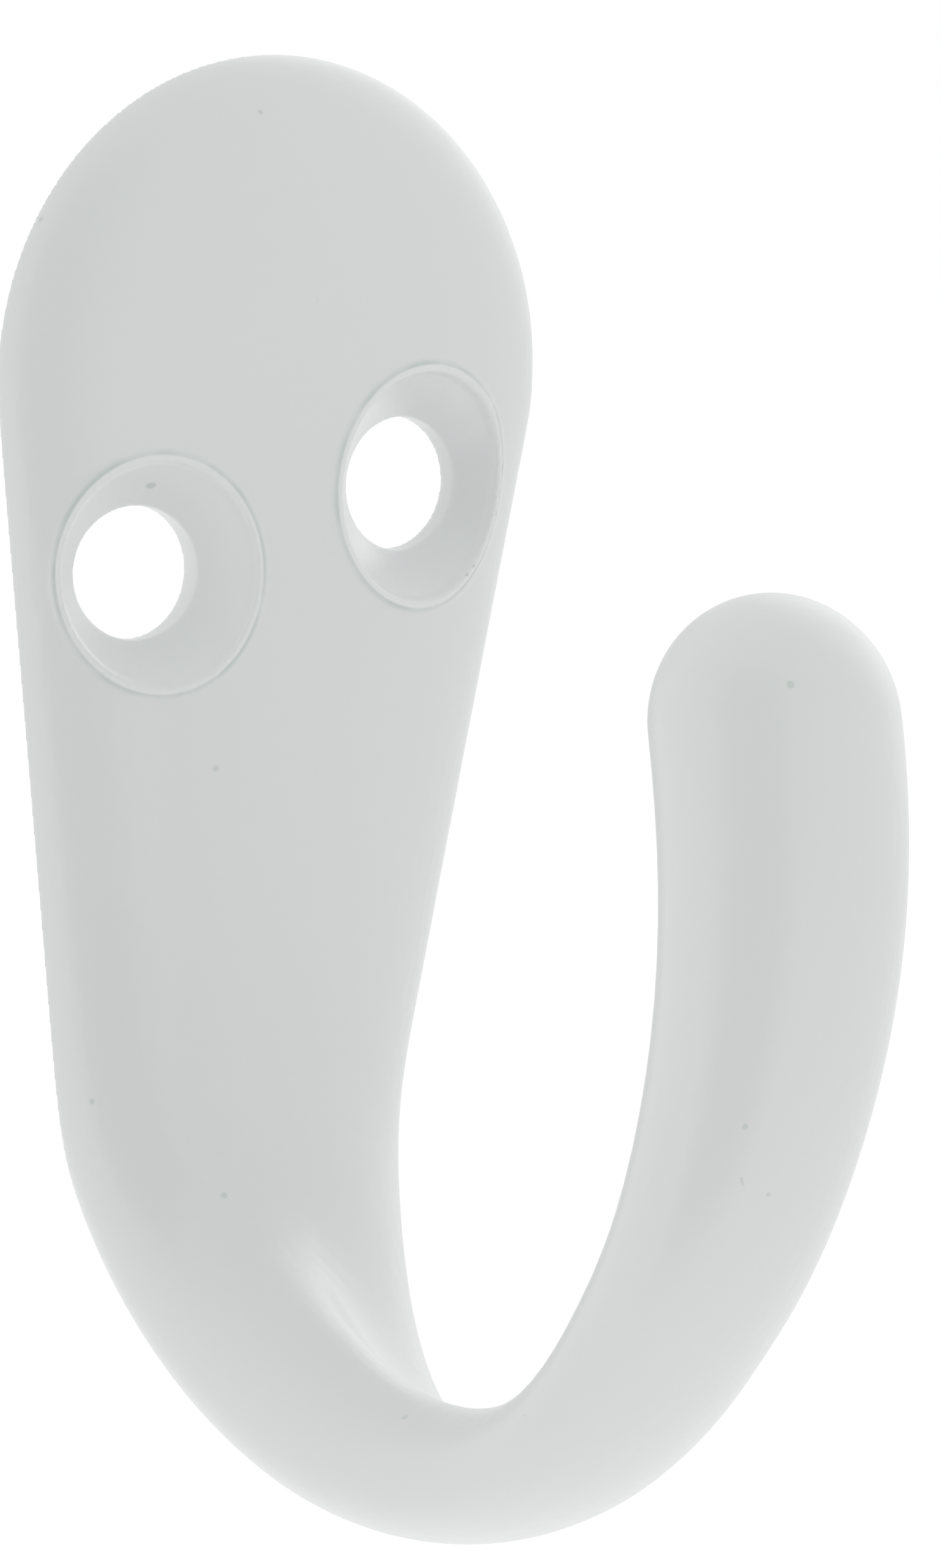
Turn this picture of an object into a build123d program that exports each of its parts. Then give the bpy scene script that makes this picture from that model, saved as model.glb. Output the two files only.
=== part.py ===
from build123d import *

import os
from math import cos, radians, sin, sqrt, tan

# Coat hook, one die casting: a domed back plate that runs down, leaves the wall and turns forward
# and up into a J-shaped arm. Sizes are in millimetres and angles in degrees.
# The wall is the plane y = 0, the hook stands out from it towards -Y, and +Z is up.
# The origin lies on the wall, half way between the two screw holes.

# Back plate: a round top, straight sides that lean in, and a domed front
PLATE_WIDTH = 19.0
PLATE_DOME = 3.0
SIDE_LEAN = 9.5
TOP_CENTRE_RISE = 4.6
PLATE_DROP = 19.5

# Middle line of the strip below the plate: three bends, each at a tangent to the one before
FOOT_BEND = 11.0
FOOT_TURN = 30.0
THROAT_BEND = 13.2
THROAT_TURN = 104.0
ARM_BEND = 19.0
ARM_TURN = 62.0
TIP_RUN = 0.6

# Oval sections of the strip: a slim waist under the throat, and a full round tip
WAIST_WIDTH = 6.1
WAIST_THICKNESS = 3.6
WAIST_SHARE = 0.5
TIP_WIDTH = 7.6
TIP_THICKNESS = 6.5

# Saddle: the inner side of the strip leans sideways there, with its left edge raised and its right
# edge hollowed. The lean sets in where the strip has turned by SADDLE_START, is greatest where it has
# turned by SADDLE_TURN, and fades out over the next SADDLE_FADE degrees.
SADDLE_LEAN = 50.0
SADDLE_START = 30.0
SADDLE_TURN = 70.0
SADDLE_FADE = 56.0

# Two countersunk screw holes, the left one lower than the right one. They lean outward, away from
# each other, and the pair is swung a little to the left, so the left one leans more.
HOLE_SPREAD = 9.1
HOLE_STAGGER = 2.9
HOLE_LEAN = 6.8
HOLE_SWING = 4.4
HOLE_DIAMETER = 4.0
HOLE_LAND = 0.75
SINK_ANGLE = 80.0

# Spacing of the sections that the strip is lofted through
PLATE_SPACING = 2.0
BEND_SPACING = 12.0

# Handles of the curve that draws half of an oval, as shares of its half width and half thickness
HANDLE_NEAR = 0.62
HANDLE_FAR = 1.29
HANDLE_LEVEL = 0.507

plate_radius = PLATE_WIDTH / 2
neck_level = TOP_CENTRE_RISE - PLATE_DROP


def plate_half_width(drop):
    """Half width of the plate, a distance below the centre of its round top."""
    lean = radians(SIDE_LEAN)
    if drop < plate_radius * sin(lean):
        return sqrt(plate_radius**2 - drop**2)
    return plate_radius / cos(lean) - drop * tan(lean)


def settle(start, end, slope, share):
    """Pass smoothly from start, left at a slope, to end, reached level, as share goes from 0 to 1."""
    kept = 2 * share**3 - 3 * share**2 + 1
    swing = share**3 - 2 * share**2 + share
    return start * kept + slope * swing + end * (1 - kept)


def strip_plane(y, z, heading):
    """The plane square to the strip, where its middle line heads down (0), forward (90) or up (180)."""
    turn = radians(heading)
    return Plane(origin=(0, y, z), x_dir=(1, 0, 0), z_dir=(0, -sin(turn), -cos(turn)))


def saddle_slope(heading):
    """Sideways slope of the inner side of the strip, where its middle line has turned to a heading."""
    if heading < SADDLE_TURN:
        strength = settle(0, 1, 0, max(0, (heading - SADDLE_START) / (SADDLE_TURN - SADDLE_START)))
    else:
        strength = settle(1, 0, 0, min(1, (heading - SADDLE_TURN) / SADDLE_FADE))
    return strength * tan(radians(SADDLE_LEAN))


def oval_half(side, half_width, half_thickness, slope):
    """Points of the curve that draws one half of a section, from its outer side to its inner side."""
    near = side * HANDLE_NEAR * half_width
    far = side * HANDLE_FAR * half_width
    level = HANDLE_LEVEL * half_thickness
    return (
        (0, -half_thickness),
        (near, -half_thickness),
        (far, -level),
        (far, level),
        (near, half_thickness - slope * near),
        (0, half_thickness),
    )


# Each section is a plane with the half width, the half thickness and the inner slope of its oval.
# Those of the plate are centred on the wall, which takes away their back halves.
sections = []
plate_steps = round(PLATE_DROP / PLATE_SPACING)
for step in range(plate_steps + 1):
    drop = PLATE_DROP * step / plate_steps
    sections.append((strip_plane(0, TOP_CENTRE_RISE - drop, 0), plate_half_width(drop), PLATE_DOME, 0))

bends = ((FOOT_BEND, FOOT_TURN), (THROAT_BEND, THROAT_TURN), (ARM_BEND, ARM_TURN))
strip_length = sum(bend * radians(turn) for bend, turn in bends)
waist_length = WAIST_SHARE * strip_length
neck_half_width = plate_half_width(PLATE_DROP)
neck_slope = -tan(radians(SIDE_LEAN)) * waist_length

y = 0.0
z = neck_level
heading = 0.0
travelled = 0.0
for bend, turn in bends:
    bend_steps = round(turn / BEND_SPACING)
    for step in range(bend_steps):
        before = radians(heading)
        heading += turn / bend_steps
        after = radians(heading)
        y -= bend * (cos(before) - cos(after))
        z -= bend * (sin(after) - sin(before))
        travelled += bend * (after - before)
        if travelled < waist_length:
            share = travelled / waist_length
            half_width = settle(neck_half_width, WAIST_WIDTH / 2, neck_slope, share)
            half_thickness = settle(PLATE_DOME, WAIST_THICKNESS / 2, 0, share)
        else:
            share = (travelled - waist_length) / (strip_length - waist_length)
            half_width = settle(WAIST_WIDTH / 2, TIP_WIDTH / 2, 0, share)
            half_thickness = settle(WAIST_THICKNESS / 2, TIP_THICKNESS / 2, 0, share)
        sections.append((strip_plane(y, z, heading), half_width, half_thickness, saddle_slope(heading)))

tip_plane = strip_plane(y, z, heading).offset(TIP_RUN)
sections.append((tip_plane, TIP_WIDTH / 2, TIP_THICKNESS / 2, 0))

# The round ends are half of an end section, turned about its thickness
round_ends = (
    (sections[0], 180),
    (sections[-1], -180),
)

with BuildPart() as coat_hook:
    # The strip, lofted through ovals whose two halves meet on the middle line
    for plane, half_width, half_thickness, slope in sections:
        with BuildSketch(plane):
            with BuildLine():
                Bezier(*oval_half(1, half_width, half_thickness, slope))
                Bezier(*oval_half(-1, half_width, half_thickness, slope))
            make_face()
    loft()

    # The round top of the plate and the round tip of the arm
    for (plane, half_width, half_thickness, slope), sweep_angle in round_ends:
        with BuildSketch(plane):
            with BuildLine():
                half_oval = Bezier(*oval_half(1, half_width, half_thickness, slope))
                Line(half_oval @ 1, half_oval @ 0)
            make_face()
        revolve(axis=Axis(plane.origin, plane.y_dir), revolution_arc=sweep_angle)

    # The flat back
    split(bisect_by=Plane.XZ, keep=Keep.TOP)

    # The screw holes, sunk from the dome down to a short straight land at the wall
    mouth_radius = HOLE_DIAMETER / 2 + PLATE_DOME * tan(radians(SINK_ANGLE / 2))
    mouth_depth = HOLE_LAND + PLATE_DOME
    for side in (-1, 1):
        lean = radians(side * HOLE_LEAN - HOLE_SWING)
        outward = Vector(sin(lean), -cos(lean), 0)
        wall_point = Vector(side * HOLE_SPREAD / 2, 0, side * HOLE_STAGGER / 2)
        with Locations(Plane(origin=wall_point + outward * mouth_depth, z_dir=outward)):
            CounterSinkHole(HOLE_DIAMETER / 2, mouth_radius, 2 * mouth_depth, SINK_ANGLE)

os.makedirs("parts", exist_ok=True)
coat_hook.part.label = "coat_hook"
export_step(coat_hook.part, "parts/coat_hook.step")
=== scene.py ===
# %% [markdown]
# This lesson dresses a small coat hook. On the real thing one metal casting does everything: a domed
# back plate with two sunk screw holes runs down, leaves the wall and turns up into a round arm.
# The casting was drawn as exact solids first, and here it is loaded as the frame that everything else
# keeps to.

# %% Load the casting
import math

import bmesh
import bpy
from mathutils import Matrix, Vector


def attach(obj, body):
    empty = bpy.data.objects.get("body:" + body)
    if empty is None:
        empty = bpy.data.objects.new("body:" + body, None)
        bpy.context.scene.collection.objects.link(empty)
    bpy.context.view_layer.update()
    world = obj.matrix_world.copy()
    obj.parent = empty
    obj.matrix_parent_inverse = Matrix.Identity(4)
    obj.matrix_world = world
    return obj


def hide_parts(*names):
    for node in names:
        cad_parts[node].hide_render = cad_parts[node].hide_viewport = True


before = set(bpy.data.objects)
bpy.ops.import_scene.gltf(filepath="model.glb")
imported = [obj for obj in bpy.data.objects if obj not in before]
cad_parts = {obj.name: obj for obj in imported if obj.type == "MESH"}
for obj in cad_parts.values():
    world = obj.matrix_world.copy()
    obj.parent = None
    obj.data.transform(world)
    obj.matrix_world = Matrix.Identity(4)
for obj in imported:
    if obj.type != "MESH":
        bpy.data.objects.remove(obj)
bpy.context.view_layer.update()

MM = 0.001

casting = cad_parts["coat_hook"]

# %% [markdown]
# The drawn casting comes as long thin triangles with a seam wherever two surfaces meet. They show the
# right shape, but nothing can be rounded on them. So a copy is taken, and its seams are closed by
# merging points that share a place. The drawn casting itself stays as it is.

# %% Copy the casting and close its seams
SEAM_GAP = 0.0005 * MM

bpy.ops.object.select_all(action="DESELECT")
hook = bpy.data.objects.new("painted_hook", casting.data.copy())
bpy.context.collection.objects.link(hook)
hook.data.name = "painted_hook"
bpy.context.view_layer.objects.active = hook
hook.select_set(True)

bpy.ops.object.mode_set(mode="EDIT")
bpy.ops.mesh.select_all(action="SELECT")
bpy.ops.mesh.remove_doubles(threshold=SEAM_GAP)
bpy.ops.object.mode_set(mode="OBJECT")
print("merged copy:", len(hook.data.vertices), "points")

# %% [markdown]
# A Remesh modifier makes the skin again from small even faces. Its Smooth and Voxel modes would melt
# the edges by a whole face. In the Sharp mode it keeps the rims of the screw holes and the flat back
# where they are, and the rounding can be chosen afterwards.

# %% Make the skin again from even faces
SKIN_DEPTH = 9
SKIN_SCALE = 0.9

skin = hook.modifiers.new("Even skin", "REMESH")
skin.mode = "SHARP"
skin.octree_depth = SKIN_DEPTH
skin.scale = SKIN_SCALE
skin.use_remove_disconnected = False
bpy.ops.object.modifier_apply(modifier=skin.name)
print("even skin:", len(hook.data.polygons), "faces")

# %% [markdown]
# Wet paint draws back from a sharp edge and piles up beside it, so each screw hole has a low lip where
# its cone breaks through the dome. Two rings could be laid on the rims, but they would not melt into
# the dome. Instead the sharp edges in front of the wall are selected and pushed outward along their
# normals, and proportional editing lets the skin around them follow.

# %% Raise a lip around the screw holes
RIM_SHARPNESS = math.radians(25)
RIM_FRONT = -1.2 * MM
LIP_HEIGHT = 0.08 * MM
LIP_REACH = 0.36 * MM

bpy.ops.object.mode_set(mode="EDIT")
bpy.ops.mesh.select_mode(type="EDGE")
bpy.ops.mesh.select_all(action="DESELECT")
bpy.ops.mesh.edges_select_sharp(sharpness=RIM_SHARPNESS)
bpy.ops.mesh.select_mode(type="VERT")
shape = bmesh.from_edit_mesh(hook.data)
for point in shape.verts:
    if point.select and point.co.y > RIM_FRONT:
        point.select_set(False)
shape.select_flush(False)
rim_points = sum(point.select for point in shape.verts)
bmesh.update_edit_mesh(hook.data)
bpy.ops.transform.shrink_fatten(
    value=LIP_HEIGHT,
    use_proportional_edit=True,
    proportional_edit_falloff="SMOOTH",
    proportional_size=LIP_REACH,
)
bpy.ops.object.mode_set(mode="OBJECT")
print("lip on", rim_points, "rim points")

# %% [markdown]
# A cast and painted edge is never a knife edge. A bevel could round it, but the rims run across a
# curved dome and a bevel tears there. Relaxing the whole skin a few times rounds every edge by about
# a tenth of a millimetre and leaves the wide smooth faces where they are. After that a Decimate
# modifier drops the faces that the smooth parts no longer need.

# %% Round the edges and thin the mesh
EDGE_PULL = 0.5
EDGE_PASSES = 4
KEPT_SHARE = 0.3

paint_pull = hook.modifiers.new("Paint pull", "SMOOTH")
paint_pull.factor = EDGE_PULL
paint_pull.iterations = EDGE_PASSES
bpy.ops.object.modifier_apply(modifier=paint_pull.name)

thin = hook.modifiers.new("Thin mesh", "DECIMATE")
thin.ratio = KEPT_SHARE
bpy.ops.object.modifier_apply(modifier=thin.name)
bpy.ops.object.shade_smooth()

hook.data.calc_loop_triangles()
print("skin:", len(hook.data.vertices), "points,", len(hook.data.loop_triangles), "triangles")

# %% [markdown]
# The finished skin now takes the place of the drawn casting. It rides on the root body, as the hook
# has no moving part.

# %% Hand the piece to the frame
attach(hook, "root")
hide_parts("coat_hook")
print("painted_hook rides on the root body and stands for the casting")

# %% [markdown]
# Colours are read off as sRGB hex values, the way a paint chart gives them, while a shader works in
# linear light, so one function turns the first into the second. A second one adds a node, sets it and
# links it, which keeps every material below a plain list of what it is made of.

# %% Helpers for colours and nodes
def linear_colour(hex_code):
    """An sRGB hex value as the linear colour that a shader works in."""
    channels = [int(hex_code[i:i + 2], 16) / 255 for i in (1, 3, 5)]
    straight = [c / 12.92 if c <= 0.04045 else ((c + 0.055) / 1.055) ** 2.4 for c in channels]
    return (*straight, 1.0)


def add_node(tree, kind, settings=None, values=None, links=None):
    """Add a node, set its properties and socket values, and link sockets from other nodes into it."""
    node = tree.nodes.new(kind)
    for name, setting in (settings or {}).items():
        setattr(node, name, setting)
    for socket, value in (values or {}).items():
        node.inputs[socket].default_value = value
    for socket, source in (links or {}).items():
        tree.links.new(source, node.inputs[socket])
    return node


# %% [markdown]
# The finish is a stoved enamel: a pigmented paint that flows out and is baked hard on the zinc.
# It gives the eye a pale grey-white with a soft sheen, patches where the film is a little thinner, and
# a very faint ripple from the flow of the paint. A ripple like that could be sculpted, but it is far
# thinner than a face of the mesh, so it is a bump in the material.

# %% Stoved enamel
ENAMEL = "#D3D6D5"
ENAMEL_THIN = "#D0D4D2"
PATCH_SIZE = 9.0 * MM
RIPPLE_SIZE = 1.6 * MM
RIPPLE_HEIGHT = 0.004 * MM
SHEEN_TIGHT = 0.29
SHEEN_SOFT = 0.33

enamel = bpy.data.materials.new("stoved_enamel")
enamel.use_nodes = True
tree = enamel.node_tree
tree.nodes.clear()

place = add_node(tree, "ShaderNodeTexCoord")
patches = add_node(
    tree, "ShaderNodeTexNoise",
    values={"Scale": 1 / PATCH_SIZE, "Detail": 2.0, "Roughness": 0.5},
    links={"Vector": place.outputs["Object"]},
)
coat_colour = add_node(
    tree, "ShaderNodeMix", {"data_type": "RGBA"},
    values={6: linear_colour(ENAMEL), 7: linear_colour(ENAMEL_THIN)},
    links={0: patches.outputs["Fac"]},
)
ripple = add_node(
    tree, "ShaderNodeTexNoise",
    values={"Scale": 1 / RIPPLE_SIZE, "Detail": 1.0, "Roughness": 0.4},
    links={"Vector": place.outputs["Object"]},
)
ripple_bump = add_node(
    tree, "ShaderNodeBump",
    values={"Strength": 1.0, "Distance": RIPPLE_HEIGHT},
    links={"Height": ripple.outputs["Fac"]},
)
sheen = add_node(
    tree, "ShaderNodeMapRange",
    values={"To Min": SHEEN_TIGHT, "To Max": SHEEN_SOFT},
    links={"Value": patches.outputs["Fac"]},
)
paint = add_node(
    tree, "ShaderNodeBsdfPrincipled",
    values={"Metallic": 0.0, "IOR": 1.5},
    links={
        "Base Color": coat_colour.outputs[2],
        "Roughness": sheen.outputs["Result"],
        "Normal": ripple_bump.outputs["Normal"],
    },
)
add_node(tree, "ShaderNodeOutputMaterial", links={"Surface": paint.outputs["BSDF"]})

hook.data.materials.clear()
hook.data.materials.append(enamel)
print("stoved enamel with", len(tree.nodes), "nodes")

# %% [markdown]
# The cones of the screw holes lie in their own shade, and a lighter colour is painted into them as
# painted light that lifts that shade. It could be a second material with a border of its own, but the
# change is a soft one. So the distance from the cone of each hole is worked out in the shader, from the
# line of its axis and the width of its land, and the colour goes over to the painted light near the
# cone.
# At the rim the colour goes over to a thin grey line, stronger in some places. The same distance draws
# that line as a ring a quarter of a millimetre wide, and a noise makes it uneven.

# %% Painted light in the screw holes and a grey line at their rims
# Painted light: a lighter colour in the cones of the screw holes, which lifts their shade.
HOLE_PAINTED_LIGHT = "#D8DBDA"
ENAMEL_EDGE = "#BDC5C1"
HOLE_RADIUS = 2.0 * MM
HOLE_LAND = 0.75 * MM
CONE_SLOPE = math.tan(math.radians(40))
HOLE_LIGHT_EDGE = (0.02 * MM, 0.10 * MM)
LINE_EDGE = (0.10 * MM, 0.32 * MM)
LINE_BREAKS = 1.6 * MM
LINE_KEPT = (0.25, 0.62)
PLATE_DEPTH = 4.0 * MM
HOLES = (
    (Vector((-4.55, 0.0, -1.45)) * MM, -11.2),
    (Vector((4.55, 0.0, 1.45)) * MM, 2.4),
)

hole_light_mask = None
lined = None
for wall_point, lean in HOLES:
    axis = Vector((math.sin(math.radians(lean)), -math.cos(math.radians(lean)), 0.0))
    from_wall = add_node(
        tree, "ShaderNodeVectorMath", {"operation": "SUBTRACT"},
        values={1: wall_point},
        links={0: place.outputs["Object"]},
    )
    along_axis = add_node(
        tree, "ShaderNodeVectorMath", {"operation": "PROJECT"},
        values={1: axis},
        links={0: from_wall.outputs["Vector"]},
    )
    from_axis = add_node(
        tree, "ShaderNodeVectorMath", {"operation": "DISTANCE"},
        links={0: from_wall.outputs["Vector"], 1: along_axis.outputs["Vector"]},
    )
    depth = add_node(
        tree, "ShaderNodeVectorMath", {"operation": "LENGTH"},
        links={0: along_axis.outputs["Vector"]},
    )
    cone_radius = add_node(
        tree, "ShaderNodeMapRange",
        values={
            "From Min": HOLE_LAND,
            "From Max": PLATE_DEPTH,
            "To Min": HOLE_RADIUS,
            "To Max": HOLE_RADIUS + (PLATE_DEPTH - HOLE_LAND) * CONE_SLOPE,
        },
        links={"Value": depth.outputs["Value"]},
    )
    outside = add_node(
        tree, "ShaderNodeMath", {"operation": "SUBTRACT"},
        links={0: from_axis.outputs["Value"], 1: cone_radius.outputs["Result"]},
    )
    on_plate = add_node(
        tree, "ShaderNodeMath", {"operation": "LESS_THAN"},
        values={1: PLATE_DEPTH},
        links={0: depth.outputs["Value"]},
    )
    rings = []
    for (near, far), others in ((HOLE_LIGHT_EDGE, hole_light_mask), (LINE_EDGE, lined)):
        near_cone = add_node(
            tree, "ShaderNodeMapRange", {"interpolation_type": "SMOOTHSTEP"},
            values={"From Min": near, "From Max": far, "To Min": 1.0, "To Max": 0.0},
            links={"Value": outside.outputs[0]},
        )
        inside = add_node(
            tree, "ShaderNodeMath", {"operation": "MULTIPLY"},
            links={0: near_cone.outputs[0], 1: on_plate.outputs[0]},
        )
        if others is not None:
            inside = add_node(
                tree, "ShaderNodeMath", {"operation": "MAXIMUM"},
                links={0: others, 1: inside.outputs[0]},
            )
        rings.append(inside.outputs[0])
    hole_light_mask, lined = rings

breaks = add_node(
    tree, "ShaderNodeTexNoise",
    values={"Scale": 1 / LINE_BREAKS, "Detail": 2.0},
    links={"Vector": place.outputs["Object"]},
)
kept = add_node(
    tree, "ShaderNodeMapRange",
    values={"From Min": LINE_KEPT[0], "From Max": LINE_KEPT[1]},
    links={"Value": breaks.outputs["Fac"]},
)
line_share = add_node(
    tree, "ShaderNodeMath", {"operation": "MULTIPLY"},
    links={0: lined, 1: kept.outputs[0]},
)
edge_colour = add_node(
    tree, "ShaderNodeMix", {"data_type": "RGBA"},
    values={7: linear_colour(ENAMEL_EDGE)},
    links={0: line_share.outputs[0], 6: coat_colour.outputs[2]},
)
# Painted light: the cones of the holes go over to a lighter colour that lifts their shade.
coat_with_hole_light = add_node(
    tree, "ShaderNodeMix", {"data_type": "RGBA"},
    values={7: linear_colour(HOLE_PAINTED_LIGHT)},
    links={0: hole_light_mask, 6: edge_colour.outputs[2]},
)
tree.links.new(coat_with_hole_light.outputs[2], paint.inputs["Base Color"])
print("thicker paint in", len(HOLES), "holes, the paint now has", len(tree.nodes), "nodes")

# %% [markdown]
# Dust settles on wet paint and stays as pin-sized grey flecks, and on the arm lies a short hair. A fine
# noise could scatter such flecks, but then they would be everywhere alike. These are set one by one:
# each is a small ball around a point of the surface, and where the skin passes through a ball the
# colour goes over to the grey of the dust.

# %% Flecks of dust in the paint
DUST = "#C2C9C5"
FLECK_CORE = 0.7
FLECK_FADE = 1.2
FLECKS = (
    (0.105, (-2.81, -2.79, -7.07)),
    (0.090, (-5.55, -1.31, -17.15)),
    (0.105, (-2.44, -3.99, -19.67)),
    (0.100, (-2.33, -13.91, -25.12)),
    (0.120, (-1.49, -29.66, -2.46)),
    (0.095, (-1.98, -29.43, -15.02)),
    (0.090, (-8.44, -0.25, 8.89)),
    (0.080, (-1.79, -1.62, 12.39)),
    (0.160, (-4.83, -1.50, 1.20)),
)
HAIR_WIDTH = 0.11
HAIR_START = Vector((-1.68, -28.98, -16.55))
HAIR_BOW = Vector((-1.60, -29.00, -16.92))
HAIR_END = Vector((-1.16, -29.04, -17.02))
HAIR_BLOB = (0.075, (-0.77, -29.07, -16.97))
HAIR_DOTS = 9

flecks = list(FLECKS) + [HAIR_BLOB]
for dot in range(HAIR_DOTS):
    along = dot / (HAIR_DOTS - 1)
    first = HAIR_START.lerp(HAIR_BOW, along)
    second = HAIR_BOW.lerp(HAIR_END, along)
    flecks.append((HAIR_WIDTH / 2, first.lerp(second, along)))

dusted = None
for radius, point in flecks:
    away = add_node(
        tree, "ShaderNodeVectorMath", {"operation": "DISTANCE"},
        values={1: Vector(point) * MM},
        links={0: place.outputs["Object"]},
    )
    inside = add_node(
        tree, "ShaderNodeMapRange", {"interpolation_type": "SMOOTHSTEP"},
        values={
            "From Min": FLECK_CORE * radius * MM,
            "From Max": FLECK_FADE * radius * MM,
            "To Min": 1.0,
            "To Max": 0.0,
        },
        links={"Value": away.outputs["Value"]},
    )
    if dusted is not None:
        inside = add_node(
            tree, "ShaderNodeMath", {"operation": "MAXIMUM"},
            links={0: dusted, 1: inside.outputs[0]},
        )
    dusted = inside.outputs[0]

dusty_colour = add_node(
    tree, "ShaderNodeMix", {"data_type": "RGBA"},
    values={7: linear_colour(DUST)},
    links={0: dusted, 6: coat_with_hole_light.outputs[2]},
)
tree.links.new(dusty_colour.outputs[2], paint.inputs["Base Color"])
print(len(flecks), "flecks, the paint now has", len(tree.nodes), "nodes")

# %% [markdown]
# The photograph is taken from a little to the left of the hook and a little above it, from about ten
# hook lengths away, with the camera slightly turned about its own axis. A camera can be aimed with a
# constraint, but a matrix of its three own directions says the turn as well, in one line.

# %% Camera
FRAME_ACROSS = 1484
FRAME_UP = 2471
VIEW_AZIMUTH = -34.76
VIEW_ELEVATION = 3.46
VIEW_ROLL = 3.36
VIEW_DISTANCE = 438.8 * MM
FRAME_HEIGHT = 46.03 * MM
AIM = Vector((0.97, -10.63, -6.83)) * MM
SENSOR = 36.0
SEEN_FROM = 0.01
SEEN_TO = 10.0


def horizon_direction(azimuth, elevation=0.0):
    """The direction from the hook towards a place at an azimuth and an elevation in degrees."""
    flat = math.cos(math.radians(elevation))
    return Vector((
        math.sin(math.radians(azimuth)) * flat,
        -math.cos(math.radians(azimuth)) * flat,
        math.sin(math.radians(elevation)),
    ))


back = horizon_direction(VIEW_AZIMUTH, VIEW_ELEVATION)
level = horizon_direction(VIEW_AZIMUTH + 90)
turn = Matrix.Rotation(math.radians(VIEW_ROLL), 3, back)
right = turn @ level
up = turn @ back.cross(level)

bpy.ops.object.camera_add()
camera = bpy.context.active_object
camera.name = "camera"
camera.data.sensor_width = SENSOR
camera.data.lens = SENSOR * VIEW_DISTANCE / FRAME_HEIGHT
camera.data.clip_start = SEEN_FROM
camera.data.clip_end = SEEN_TO
camera.matrix_world = (
    Matrix.Translation(AIM + back * VIEW_DISTANCE)
    @ Matrix((right, up, back)).transposed().to_4x4()
)
bpy.context.scene.camera = camera
print("camera lens", round(camera.data.lens, 1), "mm, frame", FRAME_ACROSS, "by", FRAME_UP)

# %% [markdown]
# The hook hangs in a white light tent. Most of the light comes through the bright cloth behind it and
# a little from above, and the side of the room, where the camera stands, is dimmer and slightly green.
# Lamps behind cloth could do this, but a world whose colour passes from one side to the other gives
# the same soft light without noise. Mirrored in the gloss the tent is white, brightest at the table
# and where the lamp shines through the cloth, high up at the right. That patch shows most in faces seen
# at a low angle, such as the hollow of the saddle. The camera sees plain white at a strength of one.

# %% Light tent
BACKDROP_SIDE = (1.42, 1.33, 1.39, 1.0)
ROOM_SIDE = (0.735, 0.785, 0.755, 1.0)
BACKDROP_TOWARDS = horizon_direction(148, 14)
TABLE_MIRRORED = 1.5
TOP_MIRRORED = 0.5
LAMP_TOWARDS = horizon_direction(112, 34)
LAMP_EDGE = (0.80, 0.97)
LAMP_MIRRORED = 0.7

world = bpy.data.worlds.new("light_tent")
bpy.context.scene.world = world
world.use_nodes = True
tree = world.node_tree
tree.nodes.clear()

heading = add_node(tree, "ShaderNodeTexCoord")
towards = add_node(
    tree, "ShaderNodeVectorMath", {"operation": "DOT_PRODUCT"},
    values={1: BACKDROP_TOWARDS},
    links={0: heading.outputs["Generated"]},
)
share = add_node(
    tree, "ShaderNodeMapRange",
    values={"From Min": -1.0, "From Max": 1.0},
    links={"Value": towards.outputs["Value"]},
)
cloth = add_node(
    tree, "ShaderNodeMix", {"data_type": "RGBA"},
    values={6: ROOM_SIDE, 7: BACKDROP_SIDE},
    links={0: share.outputs["Result"]},
)
soft_light = add_node(
    tree, "ShaderNodeBackground",
    links={"Color": cloth.outputs[2]},
)
height = add_node(
    tree, "ShaderNodeSeparateXYZ",
    links={0: heading.outputs["Generated"]},
)
mirrored_strength = add_node(
    tree, "ShaderNodeMapRange",
    values={"From Min": -1.0, "From Max": 1.0, "To Min": TABLE_MIRRORED, "To Max": TOP_MIRRORED},
    links={"Value": height.outputs["Z"]},
)
lamp_heading = add_node(
    tree, "ShaderNodeVectorMath", {"operation": "DOT_PRODUCT"},
    values={1: LAMP_TOWARDS},
    links={0: heading.outputs["Generated"]},
)
lamp_patch = add_node(
    tree, "ShaderNodeMapRange", {"interpolation_type": "SMOOTHSTEP"},
    values={"From Min": LAMP_EDGE[0], "From Max": LAMP_EDGE[1], "To Max": LAMP_MIRRORED},
    links={"Value": lamp_heading.outputs["Value"]},
)
mirrored_total = add_node(
    tree, "ShaderNodeMath", {"operation": "ADD"},
    links={0: mirrored_strength.outputs["Result"], 1: lamp_patch.outputs["Result"]},
)
mirrored = add_node(
    tree, "ShaderNodeBackground",
    values={"Color": (1.0, 1.0, 1.0, 1.0)},
    links={"Strength": mirrored_total.outputs[0]},
)
plain_white = add_node(
    tree, "ShaderNodeBackground",
    values={"Color": (1.0, 1.0, 1.0, 1.0), "Strength": 1.0},
)
ray = add_node(tree, "ShaderNodeLightPath")
straight_through = add_node(
    tree, "ShaderNodeMath", {"operation": "MAXIMUM"},
    links={0: ray.outputs["Is Camera Ray"], 1: ray.outputs["Is Transmission Ray"]},
)
tent = add_node(
    tree, "ShaderNodeMixShader",
    links={0: ray.outputs["Is Glossy Ray"], 1: soft_light.outputs[0], 2: mirrored.outputs[0]},
)
seen = add_node(
    tree, "ShaderNodeMixShader",
    links={0: straight_through.outputs[0], 1: tent.outputs[0], 2: plain_white.outputs[0]},
)
add_node(tree, "ShaderNodeOutputWorld", links={"Surface": seen.outputs[0]})
print("light tent with", len(tree.nodes), "nodes")

# %% [markdown]
# Under the hook lies a sheet of white paper, which closes the tent below and throws light back up.
# A diffuse sheet alone would come out grey beside the white backdrop, so it also glows a little,
# just enough to meet the backdrop without a line.

# %% Floor
FLOOR_LEVEL = -62.0 * MM
FLOOR_SPAN = 4.0
FLOOR_WHITE = 0.8
FLOOR_GLOW = 0.14

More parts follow.
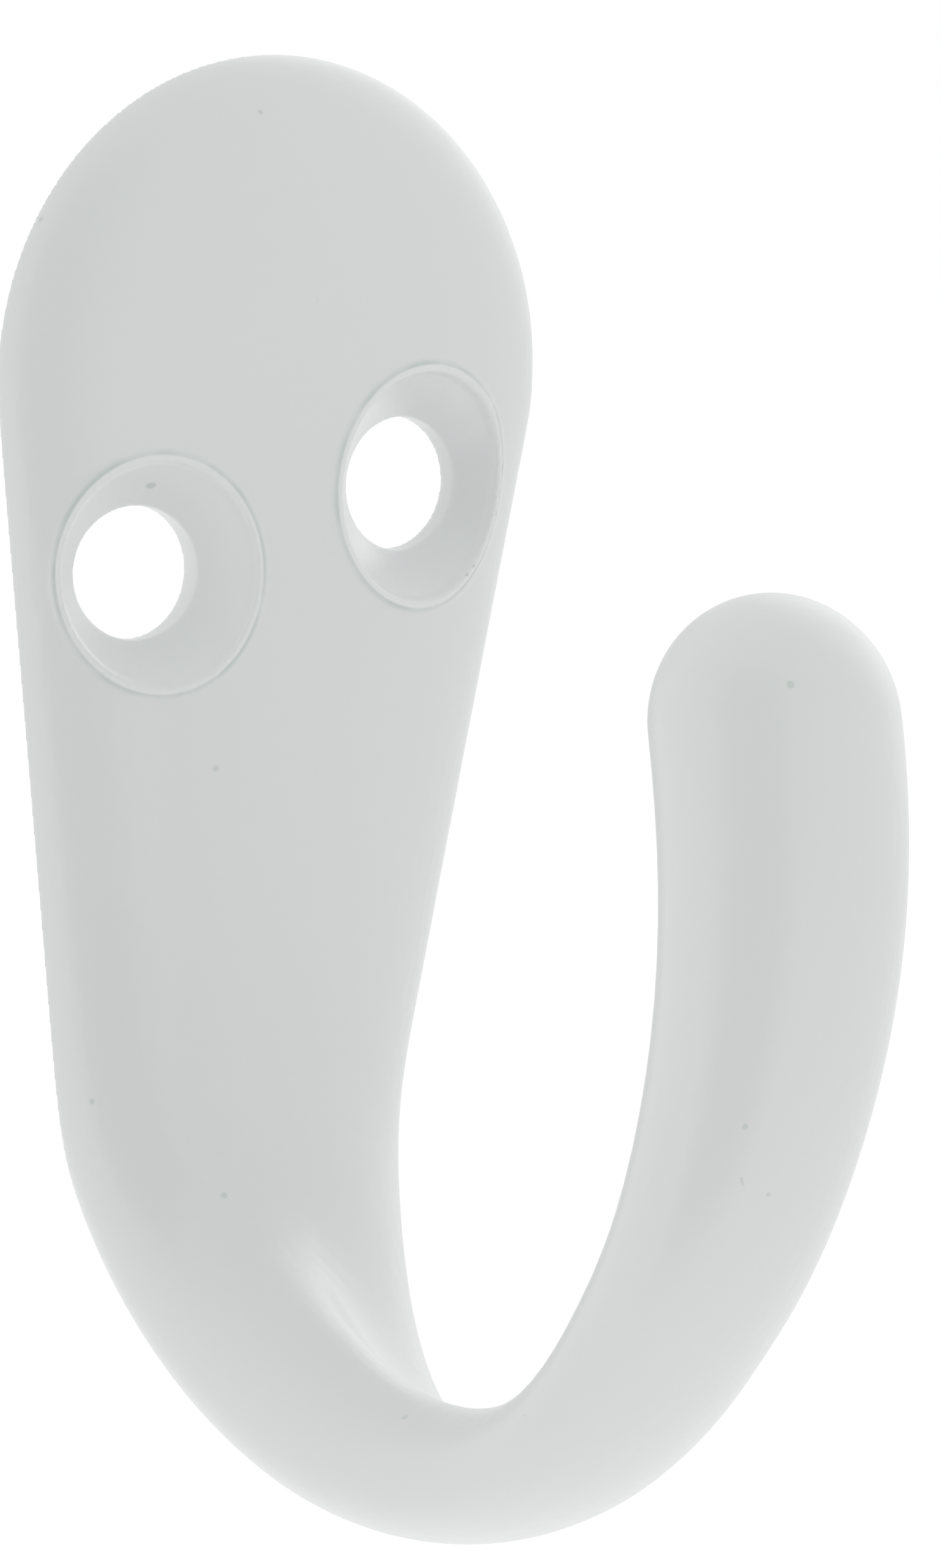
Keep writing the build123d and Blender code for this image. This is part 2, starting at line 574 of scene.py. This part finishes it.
bpy.ops.object.select_all(action="DESELECT")
bpy.ops.mesh.primitive_plane_add(size=FLOOR_SPAN, location=(0, 0, FLOOR_LEVEL))
floor = bpy.context.active_object
floor.name = "floor"
floor.visible_glossy = False

paper = bpy.data.materials.new("white_paper")
paper.use_nodes = True
tree = paper.node_tree
tree.nodes.clear()
sheet = add_node(
    tree, "ShaderNodeBsdfDiffuse",
    values={"Color": (FLOOR_WHITE, FLOOR_WHITE, FLOOR_WHITE, 1.0)},
)
glow = add_node(tree, "ShaderNodeEmission", values={"Strength": FLOOR_GLOW})
both = add_node(
    tree, "ShaderNodeAddShader",
    links={0: sheet.outputs["BSDF"], 1: glow.outputs["Emission"]},
)
add_node(tree, "ShaderNodeOutputMaterial", links={"Surface": both.outputs["Shader"]})
floor.data.materials.append(paper)
print("floor at", FLOOR_LEVEL / MM, "mm")

# %% [markdown]
# The tent is open where the camera looks in, and the dark room behind that gap is mirrored in the
# gloss as a grey band along every part that faces it. A dark upright card stands for the gap. Only
# reflections see it, so it takes no light away and the camera looks straight through.

# %% Dark gap in the tent
GAP_DISTANCE = 0.9
GAP_ACROSS = 1.0
GAP_UP = 2.2
GAP_ASIDE = 7.5
GAP_AZIMUTH = VIEW_AZIMUTH - GAP_ASIDE
GAP_GLOW = 0.02

gap_towards = horizon_direction(GAP_AZIMUTH)
gap_level = horizon_direction(GAP_AZIMUTH + 90)

bpy.ops.object.select_all(action="DESELECT")
bpy.ops.mesh.primitive_plane_add(size=1.0)
gap = bpy.context.active_object
gap.name = "tent_gap"
gap.matrix_world = (
    Matrix.Translation(gap_towards * GAP_DISTANCE)
    @ Matrix((gap_level, gap_towards.cross(gap_level), gap_towards)).transposed().to_4x4()
    @ Matrix.Diagonal((GAP_ACROSS, GAP_UP, 1.0, 1.0))
)
gap.visible_camera = False
gap.visible_diffuse = False
gap.visible_shadow = False

dark = bpy.data.materials.new("dark_room")
dark.use_nodes = True
tree = dark.node_tree
tree.nodes.clear()
dim = add_node(tree, "ShaderNodeEmission", values={"Strength": GAP_GLOW})
add_node(tree, "ShaderNodeOutputMaterial", links={"Surface": dim.outputs["Emission"]})
gap.data.materials.append(dark)
print("dark gap", GAP_ACROSS, "m across at", GAP_DISTANCE, "m")

# %% [markdown]
# Last come the view settings. The colours are shown as they are, with the Standard view.

# %% View settings
bpy.context.scene.view_settings.view_transform = "Standard"
